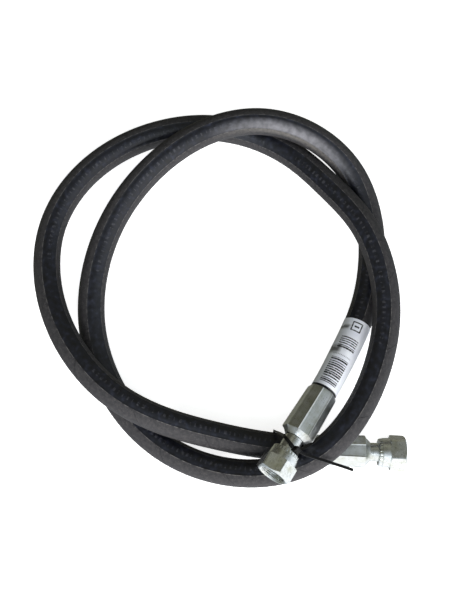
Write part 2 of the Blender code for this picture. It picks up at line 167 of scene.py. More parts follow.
# The ridge that the dies leave: its height, and its half width as an angle.
FERRULE_RIDGE = (0.42 * MM, 0.036)
LIP_RADIUS = 7.2 * MM
NECK_RADIUS = 7.9 * MM
FLANGE_END = 67.9 * MM
NUT_REAR = {1: 60.0 * MM, 2: 54.2 * MM}
NUT_LENGTH = 23.0 * MM
NUT_COLLAR_LENGTH = 9.7 * MM
NUT_APOTHEM = 13.5 * MM
NUT_CORNER = 15.35 * MM
NUT_FACE_RADIUS = 12.7 * MM
NUT_ROLL = {1: 18.0, 2: 49.0}
THREAD_PITCH = 1.5 * MM
THREAD_RADIUS = 10.65 * MM
THREAD_DEPTH = 0.38 * MM

# --- The cable tie ---
TIE_SECTION = (2.6 * MM, 1.0 * MM)
TIE_ON_NECK = 53.4 * MM
TIE_NECK_ACROSS = (0.0061, -0.0077, 0.0)
TIE_NECK_UP = 9.4 * MM
TIE_ROUND_HOSE = (0.0464, -0.1327, 0.0134)
TIE_HOSE_ACROSS = (0.0045, 0.01265, 0.0)
TIE_HOSE_UP = 12.7 * MM
TIE_BETWEEN = [
    (0.0634, -0.1387, 0.0418),
    (0.0564, -0.1389, 0.0355),
    (0.0489, -0.1399, 0.0290),
    (0.0441, -0.1419, 0.0232),
    (0.0422, -0.1442, 0.0180),
]
TIE_HEAD = (4.6 * MM, 4.4 * MM, 5.0 * MM)
TIE_HEAD_AT = 6
TIE_TAIL_LIFT = 1.8 * MM
TIE_TAIL_UP = (0.1, 0.3, 0.95)
TIE_TAIL = [
    (0.0704, -0.1399, 0.0590),
    (0.0759, -0.1419, 0.0565),
    (0.0969, -0.1482, 0.0495),
    (0.1121, -0.1530, 0.0445),
]


# ---------------------------------------------------------------- paths and meshes


def heading(azimuth, tilt):
    a, t = math.radians(azimuth), math.radians(tilt)
    return np.array([math.cos(a) * math.cos(t), math.sin(a) * math.cos(t), math.sin(t)])


def clamped_spline(points, start, end, spacing):
    """Points along the cubic spline through the given ones, with set directions at both ends."""
    p = np.array(points)
    h = np.linalg.norm(np.diff(p, axis=0), axis=1)
    s = np.concatenate([[0.0], np.cumsum(h)])
    n = len(p)
    a, b = np.zeros((n, n)), np.zeros((n, 3))
    slope = np.diff(p, axis=0) / h[:, None]
    a[0, :2] = 2 * h[0], h[0]
    b[0] = 6 * (slope[0] - start)
    a[-1, -2:] = h[-1], 2 * h[-1]
    b[-1] = 6 * (end - slope[-1])
    for i in range(1, n - 1):
        a[i, i - 1 : i + 2] = h[i - 1], 2 * (h[i - 1] + h[i]), h[i]
        b[i] = 6 * (slope[i] - slope[i - 1])
    m = np.linalg.solve(a, b)
    t = np.linspace(0.0, s[-1], int(round(s[-1] / spacing)) + 1)
    k = np.clip(np.searchsorted(s, t, side="right") - 1, 0, n - 2)
    gap, left, right = h[k][:, None], (s[k + 1] - t)[:, None], (t - s[k])[:, None]
    curve = (m[k] * left**3 + m[k + 1] * right**3) / (6 * gap)
    curve += (p[k] / gap - m[k] * gap / 6) * left
    curve += (p[k + 1] / gap - m[k + 1] * gap / 6) * right
    return curve


def smooth(points, steps, closed=False):
    """Points along a Catmull-Rom curve through the given ones."""
    count = len(points)
    curve = []
    for i in range(count if closed else count - 1):
        near = [i - 1, i, i + 1, i + 2]
        if closed:
            p0, p1, p2, p3 = (points[k % count] for k in near)
        else:
            p0, p1, p2, p3 = (points[min(max(k, 0), count - 1)] for k in near)
        for t in (j / steps for j in range(steps)):
            bend = (2 * p0 - 5 * p1 + 4 * p2 - p3) * t * t + (3 * p1 - p0 - 3 * p2 + p3) * t**3
            curve.append((2 * p1 + (p2 - p0) * t + bend) / 2)
    return curve if closed else [*curve, points[-1]]


def ease(share):
    """0 before 0, 1 after 1, and a soft turn between."""
    share = min(max(share, 0.0), 1.0)
    return share * share * (3 - 2 * share)


def hose_line():
    """The centreline from inside ferrule 1 to inside ferrule 2, its tangents, and the distance
    of each point behind the first mouth."""
    first, last = heading(*FITTING_HEADINGS[1]), heading(*FITTING_HEADINGS[2])
    middle = clamped_spline(ROUTE, -first, last, RING_SPACING)
    ins = np.array([HOSE_IN_FERRULE, 0.5 * MM])
    points = np.vstack([
        middle[0] + ins[:, None] * first,
        middle,
        middle[-1] + ins[::-1, None] * last,
    ])
    steps = np.linalg.norm(np.diff(points, axis=0), axis=1)
    distances = np.concatenate([[0.0], np.cumsum(steps)]) - HOSE_IN_FERRULE
    tangents = np.gradient(middle, axis=0)
    tangents[0], tangents[-1] = -first, last
    tangents = np.vstack([[-first, -first], tangents, [last, last]])
    return (
        [Vector(p) for p in points],
        [Vector(t).normalized() for t in tangents],
        distances.tolist(),
    )


def grid(name, rings, along, shares, loop=True):
    """A mesh through rings of points. The last ring joins the first if it loops.

    The UV map holds the distance along in metres, and the share of the way round.
    """
    count, sides = len(rings), len(rings[0])
    shares = [*shares, 1.0]
    faces, uvs = [], []
    for i in range(count if loop else count - 1):
        j = (i + 1) % count
        for k in range(sides):
            m = (k + 1) % sides
            faces.append((i * sides + k, i * sides + m, j * sides + m, j * sides + k))
            near, far = along[i], along[j]
            uvs += [near, shares[k], near, shares[k + 1], far, shares[k + 1], far, shares[k]]
    mesh = bpy.data.meshes.new(name)
    mesh.from_pydata([p for ring in rings for p in ring], [], faces)
    mesh.uv_layers.new(name="UVMap").data.foreach_set("uv", uvs)
    return mesh


def finish_piece(name, mesh, body, nodes, materials, sharp=30.0):
    """Turn the mesh's faces outwards, shade it, and put it in place of its CAD node."""
    bm = bmesh.new()
    bm.from_mesh(mesh)
    bmesh.ops.recalc_face_normals(bm, faces=bm.faces)
    bm.to_mesh(mesh)
    bm.free()
    mesh.shade_smooth()
    mesh.set_sharp_from_angle(angle=math.radians(sharp))
    for material in materials:
        mesh.materials.append(material)
    obj = bpy.data.objects.new(name, mesh)
    bpy.context.scene.collection.objects.link(obj)
    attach(obj, body)
    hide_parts(*nodes)
    return obj


def even(sides):
    return [i / sides for i in range(sides)]


# ---------------------------------------------------------------- materials


def shade(red, green, blue):
    """A colour as it looks on screen, 0 to 255, turned into the linear one that nodes take."""
    linear = [((c / 255 + 0.055) / 1.055) ** 2.4 if c > 10 else c / 255 / 12.92 for c in (red, green, blue)]
    return (*linear, 1.0)


class Paint:
    """A procedural material, with short ways to add its nodes."""

    def __init__(self, name, constants):
        self.material = bpy.data.materials.new(name)
        self.material.use_nodes = True
        self.tree = self.material.node_tree
        self.shader = self.tree.nodes["Principled BSDF"]
        for socket, value in constants.items():
            self.shader.inputs[socket].default_value = value

    def feed(self, socket, value):
        if isinstance(value, bpy.types.NodeSocket):
            self.tree.links.new(value, socket)
        else:
            socket.default_value = value

    def add(self, kind, inputs, **settings):
        new = self.tree.nodes.new("ShaderNode" + kind)
        for key, value in settings.items():
            setattr(new, key, value)
        for key, value in inputs.items():
            self.feed(new.inputs[key], value)
        return new

    def calc(self, operation, *values):
        return self.add("Math", dict(enumerate(values)), operation=operation).outputs[0]

    def uv(self):
        """The distance along the piece, in metres, and the share of the way round it."""
        split = self.add("SeparateXYZ", {"Vector": self.add("UVMap", {}).outputs[0]})
        return split.outputs[0], split.outputs[1]

    def spot(self, x, y):
        return self.add("CombineXYZ", {0: x, 1: y}).outputs[0]

    def stretched(self, along, round_share):
        """UV coordinates, each scaled on its own."""
        x, y = self.uv()
        return self.spot(self.calc("MULTIPLY", x, along), self.calc("MULTIPLY", y, round_share))

    def object_space(self):
        return self.add("TexCoord", {}).outputs["Object"]

    def noise(self, vector, scale, detail=3.0):
        sockets = {"Vector": vector, "Scale": scale, "Detail": detail}
        return self.add("TexNoise", sockets).outputs["Fac"]

    def ramp(self, value, *stops):
        """Colours or greys between the stops, each given as (position, colour)."""
        new = self.add("ValToRGB", {"Fac": value})
        elements = new.color_ramp.elements
        while len(elements) < len(stops):
            elements.new(1.0)
        for element, (position, colour) in zip(elements, stops):
            element.position = position
            element.color = colour if isinstance(colour, tuple) else (colour, colour, colour, 1.0)
        return new.outputs["Color"]

    def mix(self, share, a, b, blend="MIX"):
        new = self.add("Mix", {0: share, 6: a, 7: b}, data_type="RGBA", blend_type=blend)
        return new.outputs[2]

    def bump(self, height, depth, normal=None):
        inputs = {"Height": height, "Distance": depth}
        if normal:
            inputs["Normal"] = normal
        return self.add("Bump", inputs).outputs[0]

    def within(self, value, low, high, soft):
        """1 between low and high, with soft edges, and 0 outside."""
        rise = self.calc("DIVIDE", self.calc("SUBTRACT", value, low), soft)
        fall = self.calc("DIVIDE", self.calc("SUBTRACT", high, value), soft)
        inside = self.calc("MINIMUM", rise, fall)
        return self.add("Clamp", {"Value": inside}).outputs[0]

    def stripes(self, value, pitch, least, spread):
        """Stripes one pitch apart. Each fills a random share of it, from least to least + spread."""
        cell = self.calc("DIVIDE", value, pitch)
        sockets = {"W": self.calc("FLOOR", cell)}
        random = self.add("TexWhiteNoise", sockets, noise_dimensions="1D").outputs["Value"]
        share = self.calc("ADD", self.calc("MULTIPLY", random, spread), least)
        return self.calc("LESS_THAN", self.calc("FRACT", cell), share)

    def set(self, **values):
        for socket, value in values.items():
            self.feed(self.shader.inputs[socket.replace("_", " ")], value)
        return self.material


def painted_sheen(paint, distance, mottle):
    """How much of the painted sheen, a lighter colour standing in for a highlight, shows at a distance along
    the hose.
    """
    reach = paint.within(distance, *PAINTED_SHEEN_REACH, PAINTED_SHEEN_FADE)
    return paint.calc("MULTIPLY", paint.ramp(mottle, (0.3, 0.45), (0.7, 0.95)), reach)


def wrapped_rubber():
    """The cloth-marked rubber on most of the hose: matt, mottled, with the edges of the wrapping
    tape running round it."""
    paint = Paint("wrapped_rubber", {"Specular IOR Level": 0.30})
    x, y = paint.uv()
    metres = paint.spot(x, paint.calc("MULTIPLY", y, HOSE_GIRTH))
    cloth = paint.calc(
        "MULTIPLY",
        paint.calc("SINE", paint.calc("MULTIPLY", x, 5200.0)),
        paint.calc("SINE", paint.calc("MULTIPLY", y, 380.0)),
    )
    mottle = paint.noise(metres, 330.0, 5.0)
    specks = paint.noise(metres, 900.0, 2.0)
    lap = paint.calc("FRACT", paint.calc("ADD", paint.calc("DIVIDE", x, TAPE_PITCH), y))
    edge = paint.within(lap, 0.0, 0.03, 0.01)
    colour = paint.ramp(
        mottle, (0.3, shade(44, 43, 45)), (0.5, shade(53, 52, 54)), (0.7, shade(64, 62, 63))
    )
    colour = paint.mix(
        paint.ramp(specks, (0.60, 0.0), (0.76, 0.5)), colour, shade(98, 96, 95)
    )
    colour = paint.mix(paint.calc("MULTIPLY", edge, 0.35), colour, shade(24, 24, 26))
    # Painted highlight: a light line along each of the band's two borders.
    border_sheen = 0.0
    for angle, reach in zip(BAND, (-0.008, 0.008)):
        border = (angle + 90.0) / 360.0
        strip = paint.within(y, min(border, border + reach), max(border, border + reach), 0.002)
        border_sheen = paint.calc("MAXIMUM", border_sheen, strip)
    border_sheen = paint.calc("MULTIPLY", border_sheen, paint.ramp(mottle, (0.4, 0.0), (0.6, 0.6)))
    colour = paint.mix(border_sheen, colour, shade(112, 110, 108))
    # Painted sheen: a lighter colour on the rubber beside the band along one stretch, standing in for a
    # highlight.
    beside = paint.within(y, 0.60, 0.72, 0.05)
    bright = paint.calc("MULTIPLY", painted_sheen(paint, x, mottle), beside)
    colour = paint.mix(bright, colour, shade(104, 101, 98))
    height = paint.calc("ADD", paint.calc("MULTIPLY", mottle, 1.5), paint.calc("MULTIPLY", cloth, 0.25))
    normal = paint.bump(height, 0.22 * MM)
    normal = paint.bump(edge, 0.15 * MM, normal)
    rough = paint.ramp(mottle, (0.3, 0.52), (0.7, 0.68))
    return paint.set(Base_Color=colour, Roughness=rough, Normal=normal)


def band_rubber():
    """The smooth printed band: glossier, dark with a bluish cast that is partly its own tone and partly a
    painted reflection of the sky, with rows of plain raised dashes.
    """
    paint = Paint("band_rubber", {"Specular IOR Level": 0.5})
    x, y = paint.uv()
    metres = paint.spot(x, paint.calc("MULTIPLY", y, HOSE_GIRTH))
    ripple = paint.noise(paint.spot(x, paint.calc("MULTIPLY", y, 0.02)), 160.0, 3.0)
    mottle = paint.noise(metres, 210.0, 4.0)
    dash = paint.stripes(x, DASH_PITCH, 0.12, 0.42)
    rows = paint.calc("MULTIPLY", dash, paint.within(y, *DASH_ROW, 0.004))
    line = paint.calc("FRACT", paint.calc("DIVIDE", x, 0.31))
    rows = paint.calc("MULTIPLY", rows, paint.within(line, 0.06, 0.72, 0.01))
    worn = paint.noise(metres, 380.0, 2.0)
    rows = paint.calc("MULTIPLY", rows, paint.ramp(worn, (0.40, 0.1), (0.55, 1.0)))
    # Painted sheen: a lighter colour over the band along the same stretch, standing in for a highlight.
    bright = paint.calc("MULTIPLY", painted_sheen(paint, x, mottle), paint.within(y, 0.50, 0.70, 0.07))
    # The blue in these colours is partly the band's own tone and partly a painted reflection of the bluish
    # sky.
    colour = paint.ramp(
        mottle, (0.3, shade(9, 10, 14)), (0.55, shade(18, 20, 29)), (0.75, shade(38, 41, 54))
    )
    colour = paint.mix(bright, colour, shade(122, 121, 126))
    colour = paint.mix(paint.calc("MULTIPLY", rows, 0.6), colour, shade(66, 66, 72))
    normal = paint.bump(ripple, 0.5 * MM)
    normal = paint.bump(rows, 0.2 * MM, normal)
    rough = paint.ramp(mottle, (0.3, 0.30), (0.7, 0.46))
    return paint.set(Base_Color=colour, Roughness=rough, Normal=normal)


def plain_rubber(name, light, roughness):
    paint = Paint(name, {"Specular IOR Level": 0.4})
    grain = paint.noise(paint.object_space(), 700.0)
    dark, bright = shade(light, light, light + 1), shade(light + 16, light + 16, light + 17)
    colour = paint.ramp(grain, (0.35, dark), (0.7, bright))
    rough = paint.ramp(grain, (0.3, roughness - 0.06), (0.7, roughness + 0.06))
    return paint.set(
        Base_Color=colour, Roughness=rough, Normal=paint.bump(grain, 0.05 * MM)
    )


def wire_braid(name, turns):
    """Brass-coated wires, plaited at 54 degrees."""
    paint = Paint(name, {"Metallic": 1.0})
    x, y = paint.uv()
    along = paint.calc("MULTIPLY", x, 115.0 * turns)
    waves = []
    for sign in (1.0, -1.0):
        slant = paint.calc("ADD", along, paint.calc("MULTIPLY", y, sign * 8.0 * turns))
        waves.append(paint.calc("ABSOLUTE", paint.calc("SINE", paint.calc("MULTIPLY", slant, math.pi))))
    weave = paint.calc("MAXIMUM", *waves)
    colour = paint.ramp(weave, (0.3, shade(92, 78, 48)), (0.9, shade(214, 196, 146)))
    rough = paint.ramp(weave, (0.3, 0.55), (0.9, 0.30))
    return paint.set(Base_Color=colour, Roughness=rough, Normal=paint.bump(weave, 0.2 * MM))


def zinc(name, grain_along, grain_round, wear, roughness):
    """Zinc plate with a faint olive cast. The first two numbers set which way its fine lines run,
    and the third how strong they are."""
    paint = Paint(name, {"Metallic": 1.0})
    lines = paint.noise(paint.stretched(grain_along, grain_round), 1.0, 4.0)
    cloud = paint.noise(paint.object_space(), 130.0, 4.0)
    pits = paint.noise(paint.object_space(), 620.0, 2.0)
    colour = paint.ramp(
        cloud, (0.3, shade(205, 207, 196)), (0.5, shade(224, 227, 225)), (0.75, shade(238, 241, 243))
    )
    colour = paint.mix(paint.ramp(lines, (0.38, wear), (0.58, 0.0)), colour, shade(128, 132, 124))
    colour = paint.mix(paint.ramp(pits, (0.62, 0.0), (0.74, 0.45)), colour, shade(92, 92, 80))
    rough = paint.ramp(cloud, (0.3, roughness - 0.06), (0.7, roughness + 0.06))
    height = paint.calc("ADD", paint.calc("MULTIPLY", lines, wear), cloud)
    return paint.set(Base_Color=colour, Roughness=rough, Normal=paint.bump(height, 0.14 * MM))


def label_paper():
    """White paper with two groups of bars across the hose and a plain square frame as its mark."""
    paint = Paint("label_paper", {"Specular IOR Level": 0.45})
    x, y = paint.uv()
    turn = paint.calc("SUBTRACT", paint.calc("MULTIPLY", y, 360.0), 90.0)
    bars = paint.stripes(x, BAR_PITCH, 0.36, 0.45)
    across = paint.within(turn, *BAR_ANGLES, 1.0)
    ink = 0.0
    for start, end in BAR_GROUPS:
        group = paint.within(x, start, end, 0.1 * MM)
        ink = paint.calc("MAXIMUM", ink, paint.calc("MULTIPLY", group, across))
    ink = paint.calc("MULTIPLY", ink, bars)
    # A line of small print, shown as plain dashes.
    dashes = paint.calc("LESS_THAN", paint.calc("FRACT", paint.calc("DIVIDE", turn, 7.0)), 0.6)
    row = paint.calc("MULTIPLY", paint.within(x, 32.6 * MM, 34.0 * MM, 0.3 * MM), across)
    ink = paint.calc("MAXIMUM", ink, paint.calc("MULTIPLY", paint.calc("MULTIPLY", row, dashes), 0.55))
    from_mark = paint.calc("SUBTRACT", x, MARK_CENTRE[0])
    beside = paint.calc("SUBTRACT", turn, MARK_CENTRE[1])
    beside = paint.calc("MULTIPLY", beside, math.radians(LABEL_RADIUS))
    off_along, off_round = paint.calc("ABSOLUTE", from_mark), paint.calc("ABSOLUTE", beside)
    frame_line = paint.within(paint.calc("MAXIMUM", off_along, off_round), *MARK_FRAME, 0.15 * MM)
    bar = paint.calc(
        "MULTIPLY",
        paint.within(off_along, -MARK_BAR[0], MARK_BAR[0], 0.2 * MM),
        paint.within(off_round, -MARK_BAR[1], MARK_BAR[1], 0.2 * MM),
    )
    ink = paint.calc("MAXIMUM", ink, paint.calc("MAXIMUM", frame_line, bar))
    wear = paint.noise(paint.stretched(1.0, HOSE_GIRTH), 420.0, 3.0)
    ink = paint.calc("MULTIPLY", ink, paint.ramp(wear, (0.32, 0.55), (0.5, 1.0)))
    # Darker patches on the label's left side, over its two creases and near its far end.
    patch_noise = paint.noise(paint.stretched(1.0, HOSE_GIRTH), 95.0, 5.0)
    side = paint.within(turn, 108.0, 185.0, 16.0)
    creased = paint.within(x, 32 * MM, 45 * MM, 4 * MM)
    far_end = paint.within(x, 58 * MM, 65 * MM, 3 * MM)
    where = paint.calc("MULTIPLY", paint.calc("ADD", creased, far_end), side)
    dark_patches = paint.calc("MULTIPLY", paint.ramp(patch_noise, (0.42, 0.0), (0.56, 0.85)), where)
    paper = paint.ramp(patch_noise, (0.3, shade(226, 229, 240)), (0.7, shade(243, 246, 252)))
    colour = paint.mix(dark_patches, paper, shade(70, 68, 64))
    colour = paint.mix(ink, colour, shade(24, 24, 30))
    rough = paint.ramp(wear, (0.3, 0.34), (0.7, 0.5))
    return paint.set(Base_Color=colour, Roughness=rough, Normal=paint.bump(patch_noise, 0.25 * MM))


def tie_nylon():
    """Black nylon, with fine teeth across the strap."""
    paint = Paint("tie_nylon", {"Specular IOR Level": 0.35})
    x, _ = paint.uv()
    teeth = paint.calc("FRACT", paint.calc("DIVIDE", x, 0.9 * MM))
    grain = paint.noise(paint.object_space(), 900.0)
    colour = paint.ramp(grain, (0.3, shade(4, 4, 5)), (0.7, shade(12, 12, 13)))
    rough = paint.ramp(grain, (0.3, 0.32), (0.7, 0.46))
    return paint.set(Base_Color=colour, Roughness=rough, Normal=paint.bump(teeth, 0.06 * MM))


def floor_white():
    """A white floor that gives off a little light of its own, so that it stays white."""
    paint = Paint("floor_white", {"Roughness": 0.9, "Emission Strength": 0.86})
    grain = paint.noise(paint.object_space(), 40.0)
    colour = paint.ramp(grain, (0.3, 0.90), (0.7, 0.93))
    return paint.set(Base_Color=colour, Emission_Color=colour)


# ---------------------------------------------------------------- the hose


def ring_across(point, tangent, radii, angles):
    """A ring of points square to the hose, with its own radius at each angle."""
    across = tangent.cross(Vector((0, 0, 1))).normalized()
    above = across.cross(tangent)
    turns = [math.radians(a) for a in angles]
    return [
        point + r * (math.cos(a) * across + math.sin(a) * above) for r, a in zip(radii, turns)
    ]


def cover_radius(distance, total):
    """The cover is squeezed by the ferrules, and swells back to its full size behind them."""
    behind = min(distance, total - distance)
    if behind < -0.2 * MM:
        return COVER_IN_FERRULE
    if behind < 1 * MM:
        return COVER_IN_FERRULE + 0.1 * MM
    return COVER_AT_FERRULE + (COVER_RADIUS - COVER_AT_FERRULE) * ease(behind / SWELL_LENGTH)


def cover_angles():
    """Angles round the cover from its underside, close together at the band's two edges."""
    low, high = BAND
    return [
        *np.linspace(-90.0, low, 23)[:-1],
        low,
        *np.linspace(low + 0.9, high - 0.9, 8),
        high,
        *np.linspace(high, 270.0, 17)[1:-1],
    ]


def make_cover(line, rubber, band):
    points, tangents, distances = line
    total = distances[-1] - HOSE_IN_FERRULE
    angles = cover_angles()
    drop = [BAND_DEPTH if BAND[0] < a < BAND[1] else 0.0 for a in angles]
    inner_every = [*range(0, len(points) - 1, 8), len(points) - 1]
    rings, along = [], []
    for point, tangent, distance in zip(points, tangents, distances):
        radius = cover_radius(distance, total)
        rings.append(ring_across(point, tangent, [radius - d for d in drop], angles))
        along.append(distance)
    for i in reversed(inner_every):
        squeezed = not 0 <= distances[i] <= total
        radius = COVER_INNER_RADIUS * (CRIMP_SQUEEZE if squeezed else 1.0)
        rings.append(ring_across(points[i], tangents[i], [radius] * len(angles), angles))
        along.append(distances[i])
    shares = [(a + 90.0) / 360.0 for a in angles]
    mesh = grid("cover", rings, along, shares)
    sides = len(angles)
    is_band = [BAND[0] <= a < BAND[1] for a in angles]
    outer_faces = sides * (len(points) - 1)
    mesh.polygons.foreach_set(
        "material_index",
        [int(is_band[f % sides] and f < outer_faces) for f in range(len(mesh.polygons))],
    )
    return finish_piece(
        "rubber_cover", mesh, "hose", ["hose_cover"], [rubber, band], 40.0
    )


def make_layer(name, radii, line, material):
    """A round layer inside the hose. Inside the ferrules the crimp squeezes it."""
    points, tangents, distances = line
    total = distances[-1] - HOSE_IN_FERRULE
    chosen = [*range(0, len(points) - 1, 4), len(points) - 1]
    sides = 24
    angles = [360.0 * share - 90.0 for share in even(sides)]
    rings, along = [], []
    for radius, order in zip(radii, (chosen, chosen[::-1])):
        for i in order:
            size = radius * (1.0 if 0 <= distances[i] <= total else CRIMP_SQUEEZE)
            rings.append(ring_across(points[i], tangents[i], [size] * sides, angles))
            along.append(distances[i])
    mesh = grid(name, rings, along, even(sides))
    return finish_piece("round_" + name, mesh, "hose", [name], [material])


def spot_on(line, distance):
    """The centreline's point and tangent at a distance behind the first mouth."""
    points, tangents, distances = line
    k = int(np.searchsorted(distances, distance)) - 1
    share = (distance - distances[k]) / (distances[k + 1] - distances[k])
    return points[k].lerp(points[k + 1], share), tangents[k].lerp(tangents[k + 1], share)


def crinkle(distance, angle):
    """How far the paper stands off the hose: two small creases on its left side."""
    lift = 0.0
    for centre, at, slant in ((37 * MM, 140.0, 0.10 * MM), (44 * MM, 152.0, -0.08 * MM)):
        off = distance - centre - (angle - at) * slant
        lift += math.exp(-((off / (1.4 * MM)) ** 2) - ((angle - at) / 24.0) ** 2)
    return 0.35 * MM * lift


def make_label(line, material):
    total = line[2][-1] - HOSE_IN_FERRULE
    sides = 90
    angles = [360.0 * share - 90.0 for share in even(sides)]
    start, end = LABEL_REACH
    spots = np.linspace(start, end, 100).tolist()
    rings, along = [], []
    for lift, order in zip(LABEL_LIFT, (spots, spots[::-1])):
        for distance in order:
            point, tangent = spot_on(line, distance)
            radius = cover_radius(distance, total) + lift
            radii = [radius + crinkle(distance, a) for a in angles]
            rings.append(ring_across(point, tangent, radii, angles))
            along.append(distance)
    mesh = grid("label", rings, along, even(sides))
    return finish_piece(
        "printed_label", mesh, "hose", ["hose_label"], [material], 60.0
    )


# ---------------------------------------------------------------- the fittings


def fitting_point(number):
    """A function that puts (u, radius, angle) of one fitting into the row frame."""
    axis = Vector(heading(*FITTING_HEADINGS[number]))
    mouth = Vector(ROUTE[0] if number == 1 else ROUTE[-1])
    azimuth = math.radians(FITTING_HEADINGS[number][0])
    across = Vector((-math.sin(azimuth), math.cos(azimuth), 0.0))
    above = axis.cross(across)

    def place(u, radius, angle):
        return mouth + u * axis + radius * (math.cos(angle) * across + math.sin(angle) * above)

    return place


def rounded(outline, size):
    """The closed outline of (u, radius), with each corner eased by a short curve."""
    corners = [Vector(p) for p in outline]
    eased = []
    for i, here in enumerate(corners):
        before, after = corners[i - 1], corners[(i + 1) % len(corners)]
        back, on = before - here, after - here
        start = here + back.normalized() * min(size, 0.4 * back.length)
        end = here + on.normalized() * min(size, 0.4 * on.length)
        for t in (0.0, 0.25, 0.5, 0.75, 1.0):
            eased.append(start.lerp(here, t).lerp(here.lerp(end, t), t))
    return eased


def make_turned(name, number, outline, node, material, sides=72, size=0.2 * MM):
    place = fitting_point(number)
    turns = [2 * math.pi * share for share in even(sides)]
    eased = rounded(outline, size)
    rings = [[place(u, r, a) for a in turns] for u, r in eased]
    mesh = grid(name, rings, [u for u, _ in eased], even(sides))
    return finish_piece(name, mesh, "hose", [node], [material])


def make_insert(number, material):
    """The insert: a barbed stem inside the hose, the neck, a flange and the 24 degree cone."""
    stem = [(1.5 * MM, 5.1 * MM), (3.5 * MM, 5.85 * MM)]
    for i in range(5):
        u = (7.4 + 6.5 * i) * MM
        stem += [(u, 5.85 * MM), (u + 0.3 * MM, 5.4 * MM), (u + 1.6 * MM, 5.85 * MM)]
    nose = FLANGE_END + 8 * MM
    fall = math.tan(math.radians(12))
    cone = [(u * MM, 8.6 * MM - (u * MM - FLANGE_END) * fall) for u in (71.3, 73.9, 75.3)]
    outline = [
        *stem,
        (41.0 * MM, 5.85 * MM),
        (41.0 * MM, NECK_RADIUS),
        (43.4 * MM, NECK_RADIUS),
        (43.4 * MM, 6.9 * MM),
        (46.6 * MM, 6.9 * MM),
        (46.6 * MM, NECK_RADIUS),
        (63.8 * MM, NECK_RADIUS),
        (64.4 * MM, 9.5 * MM),
        (FLANGE_END, 9.5 * MM),
        (FLANGE_END, 8.6 * MM),
        cone[0],
        (cone[0][0], 5.7 * MM),
        (cone[1][0], 5.7 * MM),
        cone[1],
        cone[2],
        (nose, 6.3 * MM),
        (nose, 5.3 * MM),
        (nose - 0.8 * MM, 4.5 * MM),
        (1.5 * MM, 4.5 * MM),
    ]
    return make_turned(
        f"turned_insert_{number}", number, outline, f"insert_{number}", material
    )


def make_seal(number, material):
    turns = [2 * math.pi * share for share in even(20)]
    outline = [(72.6 * MM + 0.95 * MM * math.cos(a), 7.0 * MM + 0.95 * MM * math.sin(a)) for a in turns]
    return make_turned(
        f"seal_{number}", number, outline, f"o_ring_{number}", material, size=0.01 * MM
    )


def crimped_radius(apothem, angle, roll, roundness):
    """Eight flats left by the crimping dies, with a narrow raised ridge between each two."""
    step = math.pi / 4
    off = (angle - roll + step / 2) % step - step / 2
    off = step / 2 - abs(off)
    flat = apothem / math.cos(off)
    height, reach = FERRULE_RIDGE
    ridge = height * math.exp(-(((step / 2 - off) / reach) ** 2))
    flat = min(flat, apothem * 1.068) + ridge
    return flat * (1 - roundness) + apothem * roundness


def make_ferrule(number, material):
    place = fitting_point(number)
    roll = math.radians(FERRULE_ROLL[number])
    sides = 240
    turns = [2 * math.pi * share for share in even(sides)]
    shoulder = FERRULE_LENGTH - FERRULE_CHAMFER
    low, high = FERRULE_APOTHEMS
    # (u, apothem, how round the section is)
    stations = [
        (0.0, low - 0.5 * MM, 0.7),
        (0.4 * MM, low - 0.15 * MM, 0.5),
        (1.2 * MM, low, 0.12),
        (3.0 * MM, low + 0.05 * MM, 0.0),
    ]
    for i in range(1, 13):
        u = 3.0 * MM + (shoulder - 3.5 * MM) * i / 12
        stations.append((u, low + (high - low) * u / shoulder, 0.0))
    stations += [
        (shoulder + 0.1 * MM, high - 0.05 * MM, 0.1),
        (shoulder + 0.7 * MM, high - 0.6 * MM, 0.45),
        (shoulder + 1.6 * MM, high - 1.6 * MM, 0.8),
        (FERRULE_LENGTH - 0.5 * MM, high - 3.7 * MM, 1.0),
        (FERRULE_LENGTH - 0.1 * MM, high - 3.95 * MM, 1.0),
        (FERRULE_LENGTH, high - 4.1 * MM, 1.0),
    ]
    rings = [[place(u, crimped_radius(a, t, roll, k), t) for t in turns] for u, a, k in stations]
    along = [u for u, _, _ in stations]
    bore = [
        (FERRULE_LENGTH, 8.3 * MM),
        (46.3 * MM, 8.3 * MM),
        (46.2 * MM, LIP_RADIUS),
        (43.8 * MM, LIP_RADIUS),
        (43.3 * MM, FERRULE_BORE),
        (0.3 * MM, FERRULE_BORE),
        (0.0, FERRULE_BORE + 0.2 * MM),
    ]
    for u, r in bore:
        rings.append([place(u, r, t) for t in turns])
        along.append(u)
    mesh = grid("ferrule", rings, along, even(sides))
    return finish_piece(
        f"crimped_ferrule_{number}", mesh, "hose", [f"ferrule_{number}"], [material], 24.0
    )


